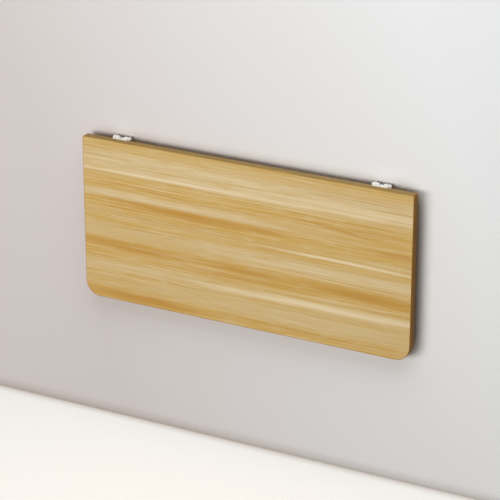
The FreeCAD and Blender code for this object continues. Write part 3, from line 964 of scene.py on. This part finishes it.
@dataclass(frozen=True)
class WoodScrew:
    """Pan head wood screw with a cross recess and a cut thread; lengths are in millimetres.

    Attributes:
        head: Height of the head.
        rim: Height of the head's straight rim.
        bow: Share of a quarter circle that the head's dome takes.
        shank: Radius over the thread.
        neck: Plain length under the head.
        pitch: Pitch of the thread.
        thread: Depth of the thread.
        crest: Half width of the thread's crest, as a share of the pitch.
        flank: Width of the thread's slope, as a share of the pitch.
        point: Length that narrows to the tip.
        taper: Power of the narrowing; below 1 the point is rounded.
        recess: Depth of the cross.
        arm_width: Half width of an arm of the cross.
        arm_length: Half length of an arm.
        wall: Width of the cross's sloped walls.
        turn_steps: Points round the screw.
        dome_rings: Rings over the dome.
        thread_rings: Rings along the thread.
    """

    head: float = 2.4
    rim: float = 0.7
    bow: float = 0.98
    shank: float = 2.0
    neck: float = 1.5
    pitch: float = 1.8
    thread: float = 0.55
    crest: float = 0.1
    flank: float = 0.25
    point: float = 5.0
    taper: float = 0.8
    recess: float = 1.3
    arm_width: float = 0.6
    arm_length: float = 2.3
    wall: float = 0.25
    turn_steps: int = 72
    dome_rings: int = 25
    thread_rings: int = 90

    def shell(self, across: float, height: float, crown: float, tip: float,
              radius: float) -> tuple[np.ndarray, np.ndarray]:
        """One screw along -Y from its crown to its tip, as depth and radius over a grid of profile and
        turn. The head is a flattened dome with a cross sunk into it. The shank's radius drops by the
        thread's depth between turns, where depth over pitch less turn is near a half, and the last part
        narrows to a point.

        Args:
            across: x of the screw, in metres.
            height: z of the screw.
            crown: y of the top of its head.
            tip: y of its tip.
            radius: Head radius in millimetres.

        Returns:
            Points in metres and quads.
        """
        length = (crown - tip) / MM
        plain = self.head + self.neck
        rings = np.linspace(0, 1, self.dome_rings)
        fall = 1 - np.sqrt(1 - (self.bow * rings) ** 2)
        depth = np.concatenate([
            (self.head - self.rim) * fall / fall[-1], [self.head, self.head, plain],
            np.linspace(plain, length, self.thread_rings)])[:, None]
        width = np.concatenate([
            radius * rings, [radius, self.shank, self.shank],
            np.full(self.thread_rings, self.shank)])[:, None]
        angle = np.linspace(0, 2 * np.pi, self.turn_steps, endpoint=False)[None, :]
        wave = (depth / self.pitch - angle / (2 * np.pi)) % 1
        cut = np.clip((np.minimum(wave, 1 - wave) - self.crest) / self.flank, 0, 1) * self.thread
        point = np.clip((length - depth) / self.point, 0, 1) ** self.taper
        width = np.where(depth > plain, (width - cut) * point, width + 0 * angle)
        x, z = width * np.cos(angle), width * np.sin(angle)
        sunk = np.maximum(self.flute(x, z), self.flute(z, x)) * self.recess
        domed = np.arange(len(depth))[:, None] < self.dome_rings
        depth = depth + np.where(domed, sunk, 0)
        points = np.stack([across + x * MM, crown - depth * MM, height + z * MM], axis=2)
        return points.reshape(-1, 3), grid_faces(len(width), self.turn_steps, False, True)

    def flute(self, wide: np.ndarray, long: np.ndarray) -> np.ndarray:
        """One arm of the cross: 1 inside its half sizes, falling to 0 over its sloped walls.

        Args:
            wide: Distances across the arm.
            long: Distances along the arm.

        Returns:
            Share of the cross's depth at each point.
        """
        slope = self.wall / 2
        inside = np.minimum(self.arm_width + slope - np.abs(wide), self.arm_length + slope - np.abs(long))
        return np.clip(inside / self.wall, 0, 1)


@dataclass
class Bracket:
    """One folding bracket: pressed steel channels with turned pins, rings and screws.

    Attributes:
        side: Which of the two brackets.
        edge_soft: Rounding of the sheet's cut edges under the paint, in millimetres.
        edge_segments: Faces across a rounded edge.
        edge_angle: Edges sharper than this are rounded, in degrees.
        flat_angle: Faces that meet at less than this are one, in degrees.
        ring_soft: Rounding of the moulded rings' edges.
        ring_steps: Points on a ring's rounded edge.
        bar_soft: Rounding of the tip bar's ends.
        bar_steps: Points on the bar's rounded end.
        dome: Share of a pin head's thickness that is domed.
        dome_steps: Points from a dome's rim to its top.
        screw: Shape of the arm screws.
        screw_sharp: Edges of a screw sharper than this stay sharp, in degrees.
        screw_gap: Points further apart than this belong to different screws.
    """

    side: Side
    edge_soft: float = 0.35
    edge_segments: int = 2
    edge_angle: float = 40.0
    flat_angle: float = 1.0
    ring_soft: float = 0.4
    ring_steps: int = 5
    bar_soft: float = 0.8
    bar_steps: int = 6
    dome: float = 0.8
    dome_steps: int = 9
    screw: WoodScrew = WoodScrew()
    screw_sharp: float = 50.0
    screw_gap: float = 10.0

    def node(self, name: str) -> str:
        """Name of one of this bracket's CAD nodes."""
        return f"{name}_{self.side.value}"

    def build(self) -> None:
        """Make and dress every piece of the bracket."""
        self.sheet("wall_leg", Body.WALL)
        self.sheet("leaf_arm", Body.LEAF)
        self.sheet("catch_plate", Body.LEAF)
        self.sheet("brace", self.side.brace)
        for name in ("hinge_pin", "brace_pin"):
            self.pin(name)
        for name in ("hinge_sleeves", "hinge_washers", "brace_bushes"):
            self.rings(name)
        self.bar()
        self.screws()

    def sheet(self, name: str, body: Body) -> None:
        """Pressed sheet: a merged copy of the CAD node with its cut edges softened.

        Args:
            name: Piece without its side.
            body: Body that it rides on.
        """
        node = self.node(name)
        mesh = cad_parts[node].data.copy()
        work = bmesh.new()
        work.from_mesh(mesh)
        bmesh.ops.remove_doubles(work, verts=work.verts, dist=NODE_WELD)
        bmesh.ops.dissolve_limit(work, angle_limit=math.radians(self.flat_angle), verts=work.verts,
                                 edges=work.edges)
        work.to_mesh(mesh)
        work.free()
        piece = finish_mesh(f"{node}_pressing", mesh, SHARP)
        soft = piece.modifiers.new("softened_edges", "BEVEL")
        soft.width = self.edge_soft * MM
        soft.segments = self.edge_segments
        soft.limit_method = "ANGLE"
        soft.angle_limit = math.radians(self.edge_angle)
        soft.harden_normals = True
        dress(piece, body, Slot.STEEL, node)

    def pin(self, name: str) -> None:
        """Riveted pin: a plain shank between two domed heads, turned about X. A head is a short rim and
        an ellipse that falls to the axis.

        Args:
            name: Piece without its side.
        """
        node = self.node(name)
        size = size_of(node)
        along, shank = inner_reach(node)
        half = size.x / 2
        head = size.y / 2
        rise = (half - along) * self.dome
        angle = np.radians(np.linspace(0, 90, self.dome_steps))
        dome = np.stack([half - rise + rise * np.cos(angle), head * np.sin(angle)], axis=1)
        right = np.concatenate([dome, [(along, head), (along, shank)]])
        left = right[::-1] * (-1, 1)
        shell = turned(np.concatenate([left[::-1], right[::-1]]), middle_of(node), False)
        points, faces = join_shells([shell])
        dress(make_piece(f"{node}_rivet", points, faces), Body.WALL, Slot.PLATED, node)

    def rings(self, name: str) -> None:
        """Pair of rings on a pin, turned about X: a rectangular section with rounded corners.

        Args:
            name: Piece without its side.
        """
        node = self.node(name)
        size = size_of(node)
        start, bore = inner_reach(node)
        outer = size.y / 2
        stop = size.x / 2
        soft = min(self.ring_soft, (stop - start) / 3, (outer - bore) / 3)
        section = np.concatenate([
            arc((start + soft, outer - soft), soft, 180, 90, self.ring_steps),
            arc((stop - soft, outer - soft), soft, 90, 0, self.ring_steps),
            arc((stop - soft, bore + soft), soft, 0, -90, self.ring_steps),
            arc((start + soft, bore + soft), soft, 270, 180, self.ring_steps),
        ])
        middle = middle_of(node)
        shells = [turned(section * (hand, 1), middle, True) for hand in (-1, 1)]
        points, faces = join_shells(shells)
        dress(make_piece(f"{node}_turned", points, faces), Body.WALL, Slot.NYLON, node)

    def bar(self) -> None:
        """Tip bar: a plain round bar with rounded ends, turned about X."""
        node = self.node("tip_bar")
        size = size_of(node)
        half = size.x / 2
        radius = size.y / 2
        soft = self.bar_soft
        rounded = arc((half - soft, radius - soft), soft, 0, 90, self.bar_steps)
        end = np.concatenate([[(half, 0.0)], rounded])
        shell = turned(np.concatenate([end[::-1] * (-1, 1), end[::-1]])[::-1], middle_of(node), False)
        points, faces = join_shells([shell])
        dress(make_piece(f"{node}_turned", points, faces), self.side.brace, Slot.PLATED, node)

    def screws(self) -> None:
        """Four pan head wood screws with a cross recess and a cut thread, from the node's own heights."""
        node = self.node("arm_screws")
        low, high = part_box(node)
        centre = middle_of(node)
        radius = size_of(node).x / 2
        shells = [self.screw.shell(centre.x, height, high.y, low.y, radius)
                  for height in self.screw_heights(node)]
        points, faces = join_shells(shells)
        piece = make_piece(f"{node}_turned", points, faces, self.screw_sharp)
        dress(piece, Body.LEAF, Slot.PLATED, node)

    def screw_heights(self, node: str) -> list[float]:
        """Heights of the screws: the middles of the groups that the node's points form along z.

        Args:
            node: Name of the screws' CAD node.

        Returns:
            Heights in metres.
        """
        levels = np.unique(np.round(points_of(node)[:, 2], 6))
        groups = np.split(levels, np.flatnonzero(np.diff(levels) > self.screw_gap * MM) + 1)
        return [float((group[0] + group[-1]) / 2) for group in groups]


# Stage

@dataclass(frozen=True)
class Lamp:
    """Oblong soft lamp.

    Attributes:
        name: Name of the lamp.
        place: Where it stands, in metres.
        sides: Its width and height, in metres.
        power: Power in watts.
        colour: Light colour.
    """

    name: str
    place: tuple[float, float, float]
    sides: tuple[float, float]
    power: float
    colour: str

    def build(self, target: Sequence[float]) -> None:
        """Make the lamp and turn it towards a point.

        Args:
            target: The point, in metres.
        """
        data = bpy.data.lights.new(self.name, "AREA")
        data.shape = "RECTANGLE"
        data.size, data.size_y = self.sides
        data.energy = self.power
        data.color = linear(self.colour)[:3]
        made = bpy.data.objects.new(self.name, data)
        bpy.context.scene.collection.objects.link(made)
        made.location = self.place
        made.rotation_euler = (Vector(target) - Vector(self.place)).to_track_quat("-Z", "Y").to_euler()


@dataclass
class Studio:
    """Wall, floor, soft light and the photograph's camera; lengths are in metres.

    Attributes:
        azimuth: Camera's turn round the leaf, in degrees from straight on.
        elevation: Camera's height above the horizon, in degrees.
        focal: Focal length in pixels of the 500 pixel frame.
        distance: Camera to its target.
        target: Point in the middle of the picture.
        view_end: How far the camera sees.
        reach: Half size of the wall and the floor.
        wall_gap: Wall's distance behind the brackets' backs.
        wall_painted_light_colours: Wall's colours low on the left and high on the right: painted light
            that makes the wall lighter towards the upper right.
        painted_light_rise: Direction in which the painted light makes the wall lighter.
        painted_light_span: Distance along it, to either side, over which the painted light changes the
            wall's colour.
        nook_painted_shade: Painted shade: the dark brown that the wall takes in the gap behind the leaf.
        nook_shade_reach: How far the leaf's nearness darkens the wall with painted shade.
        nook_shade_spread: Openness at which the wall has the full painted shade, and its own colour.
        floor_level: Height of the floor.
        floor_colours: Floor's colours, as the wall's.
        floor_glow: Share of its colour that the camera sees without any light.
        bounces: Light that has bounced more often than this meets the wall and the floor.
        ambient_colour: Colour of the light from all round.
        ambient: Strength of that light.
        sky_colour: What the camera and reflections see behind everything.
    """

    azimuth: float = 27.498
    elevation: float = 22.616
    focal: float = 2327.9
    distance: float = 5.0394
    target: tuple[float, float, float] = (0.018, -0.038, -0.1334)
    view_end: float = 60.0
    reach: float = 9.0
    wall_gap: float = 0.0004
    # Painted light: the wall's paint gets lighter towards the upper right
    wall_painted_light_colours: tuple[str, str] = ("#D5CFCF", "#ECEEF0")
    painted_light_rise: tuple[float, float, float] = (0.94, 0.0, 0.34)
    painted_light_span: float = 0.5
    # Painted shade: dark brown for the wall in the gap behind the leaf
    nook_painted_shade: str = "#7E6240"
    nook_shade_reach: float = 0.06
    nook_shade_spread: tuple[float, float] = (0.3, 0.68)
    floor_level: float = -0.63
    floor_colours: tuple[str, str] = ("#EFECE8", "#EFECE8")
    floor_glow: float = 0.35
    bounces: float = 1.5
    ambient_colour: str = "#FFFDFA"
    ambient: float = 0.2
    sky_colour: str = "#ECEAE6"

    LAMPS = (
        Lamp("key_lamp", (-1.08, -3.88, 0.08), (2.6, 1.3), 99.0, "#FFFAF4"),
        Lamp("top_lamp", (0.6, -1.25, 2.6), (3.0, 2.4), 58.0, "#F8FCFF"),
        Lamp("back_lamp", (-0.7, 3.6, -0.3), (2.0, 1.2), 75.0, "#FFFDFA"),
    )

    def build(self) -> None:
        """Make everything that isn't part of the object."""
        far, gap, floor = self.reach, self.wall_gap, self.floor_level
        self.plane("backdrop_wall", "painted_plaster_wall", self.wall_painted_light_colours, 0.0,
                   ((-far, gap, -far), (far, gap, -far), (far, gap, far), (-far, gap, far)))
        self.plane("floor", "pale_studio_floor", self.floor_colours, self.floor_glow,
                   ((-far, -far, floor), (far, -far, floor), (far, far, floor), (-far, far, floor)))
        self.world()
        for lamp in self.LAMPS:
            lamp.build(self.target)
        self.camera()

    def plane(self, name: str, finish: str, colours: tuple[str, str], glow: float,
              corners: Sequence[Sequence[float]]) -> None:
        """Stage plane that shows from its front alone, so that the object can be seen from behind it.

        Args:
            name: Name of the plane.
            finish: Name of its material.
            colours: Its colours low on the left and high on the right; on the wall their difference is
                painted light.
            glow: Share of its colour that the camera sees as well as the lamps' light.
            corners: Its corners.
        """
        mesh = bpy.data.meshes.new(name)
        mesh.from_pydata(corners, [], [(0, 1, 2, 3)])
        piece = bpy.data.objects.new(name, mesh)
        bpy.context.scene.collection.objects.link(piece)
        mesh.materials.append(self.one_sided(finish, colours, glow))

    def one_sided(self, name: str, colours: tuple[str, str], glow: float) -> bpy.types.Material:
        """Matt paint that glows a little for the camera, and is clear where it doesn't show.

        Args:
            name: Name of the material.
            colours: Paint colours low on the left and high on the right; on the wall their difference is
                painted light.
            glow: Share of its colour that the camera sees as well as the lamps' light.

        Returns:
            The material.
        """
        made = bpy.data.materials.new(name)
        made.use_nodes = True
        tree = made.node_tree
        tree.nodes.clear()
        light = add_node(tree, "ShaderNodeLightPath")
        tone = self.paint_tone(tree, colours)
        paint = add_node(tree, "ShaderNodeBsdfDiffuse", {"Color": tone})
        shine = add_node(tree, "ShaderNodeMath", {
            0: light.outputs["Is Camera Ray"], 1: glow}, operation="MULTIPLY")
        lit = add_node(tree, "ShaderNodeEmission", {"Color": tone, "Strength": shine.outputs[0]})
        paint = add_node(tree, "ShaderNodeAddShader", {0: paint.outputs[0], 1: lit.outputs[0]})
        clear = add_node(tree, "ShaderNodeBsdfTransparent")
        mix = add_node(tree, "ShaderNodeMixShader", {
            0: self.shown(tree, light), 1: clear.outputs[0], 2: paint.outputs[0]})
        add_node(tree, "ShaderNodeOutputMaterial", {"Surface": mix.outputs[0]})
        return made

    def paint_tone(self, tree: Tree, colours: tuple[str, str]) -> Socket:
        """Paint colour with painted light that makes it lighter towards the upper right, and painted
        shade that makes it darker in the gap behind the leaf.

        Args:
            tree: Node tree of the material.
            colours: Paint colours low on the left and high on the right; on the wall their difference is
                painted light.

        Returns:
            Output with the colour.
        """
        place = add_node(tree, "ShaderNodeTexCoord").outputs["Object"]
        # Painted light: the paint gets lighter towards the upper right
        rise = add_node(tree, "ShaderNodeVectorMath", {
            0: place, 1: self.painted_light_rise}, operation="DOT_PRODUCT")
        share = add_node(tree, "ShaderNodeMapRange", {
            "Value": rise.outputs["Value"], "From Min": -self.painted_light_span, "From Max": self.painted_light_span})
        open_tone = add_node(tree, "ShaderNodeMix", {
            "Factor": share.outputs[0], "A": linear(colours[0]), "B": linear(colours[1])},
            data_type="RGBA")
        # Painted shade: ambient occlusion darkens the paint to a dark brown in the gap behind the leaf
        near = add_node(tree, "ShaderNodeAmbientOcclusion", {"Distance": self.nook_shade_reach}, samples=8)
        openness = add_node(tree, "ShaderNodeMapRange", {
            "Value": near.outputs["AO"],
            "From Min": self.nook_shade_spread[0], "From Max": self.nook_shade_spread[1]})
        tone = add_node(tree, "ShaderNodeMix", {
            "Factor": openness.outputs[0], "A": linear(self.nook_painted_shade), "B": open_tone.outputs["Result"]},
            data_type="RGBA")
        return tone.outputs["Result"]

    def shown(self, tree: Tree, light: Node) -> Socket:
        """1 where a stage plane shows: from its front, to what is seen and to light after its first
        bounce. Other light goes through, so that the object's back is lit as well.

        Args:
            tree: Node tree of the material.
            light: Its Light Path node.

        Returns:
            Output with the 1 or 0.
        """
        depth = add_node(tree, "ShaderNodeMath", {
            0: light.outputs["Diffuse Depth"], 1: light.outputs["Is Shadow Ray"]})
        later = add_node(tree, "ShaderNodeMath", {
            0: depth.outputs[0], 1: self.bounces}, operation="GREATER_THAN")
        met = add_node(tree, "ShaderNodeMath", {
            0: self.seen(tree, light), 1: later.outputs[0]}, operation="MAXIMUM")
        back = add_node(tree, "ShaderNodeNewGeometry").outputs["Backfacing"]
        front = add_node(tree, "ShaderNodeMath", {0: 1.0, 1: back}, operation="SUBTRACT")
        both = add_node(tree, "ShaderNodeMath", {
            0: met.outputs[0], 1: front.outputs[0]}, operation="MULTIPLY")
        return both.outputs[0]

    @staticmethod
    def seen(tree: Tree, light: Node) -> Socket:
        """1 for what the camera sees, itself or in a mirror or through a glass.

        Args:
            tree: Node tree of the material or world.
            light: Its Light Path node.

        Returns:
            Output with the 1 or 0.
        """
        seen = light.outputs["Is Camera Ray"]
        for kind in ("Is Glossy Ray", "Is Transmission Ray"):
            either = add_node(tree, "ShaderNodeMath", {
                0: seen, 1: light.outputs[kind]}, operation="MAXIMUM")
            seen = either.outputs[0]
        return seen

    def world(self) -> None:
        """Even pale light from all round, and a near white sky for the camera and for reflections."""
        world = bpy.data.worlds.new("studio_world")
        bpy.context.scene.world = world
        world.use_nodes = True
        tree = world.node_tree
        tree.nodes.clear()
        light = add_node(tree, "ShaderNodeLightPath")
        ambient = add_node(tree, "ShaderNodeBackground", {
            "Color": linear(self.ambient_colour), "Strength": self.ambient})
        sky = add_node(tree, "ShaderNodeBackground", {"Color": linear(self.sky_colour), "Strength": 1.0})
        mix = add_node(tree, "ShaderNodeMixShader", {
            0: self.seen(tree, light), 1: ambient.outputs[0], 2: sky.outputs[0]})
        add_node(tree, "ShaderNodeOutputWorld", {"Surface": mix.outputs[0]})

    def camera(self) -> None:
        """Camera at the photograph's angle: target plus distance along the direction that azimuth and
        elevation give.
        """
        turn, rise = math.radians(self.azimuth), math.radians(self.elevation)
        level = math.cos(rise)
        back = Vector((math.sin(turn) * level, -math.cos(turn) * level, math.sin(rise)))
        data = bpy.data.cameras.new("photo_camera")
        data.sensor_width = SENSOR
        data.lens = self.focal / IMAGE_SIDE * SENSOR
        data.clip_end = self.view_end
        made = bpy.data.objects.new("photo_camera", data)
        bpy.context.scene.collection.objects.link(made)
        made.location = Vector(self.target) + back * self.distance
        made.rotation_euler = (-back).to_track_quat("-Z", "Y").to_euler()
        bpy.context.scene.camera = made


def main() -> None:
    """Build the leaf, both brackets and the stage."""
    logging.basicConfig(level=logging.INFO, format="%(message)s")
    bpy.context.scene.view_settings.view_transform = "Standard"
    Leaf().build()
    for side in Side:
        Bracket(side).build()
    Studio().build()
    bpy.context.view_layer.update()


if __name__ == "__main__":
    main()
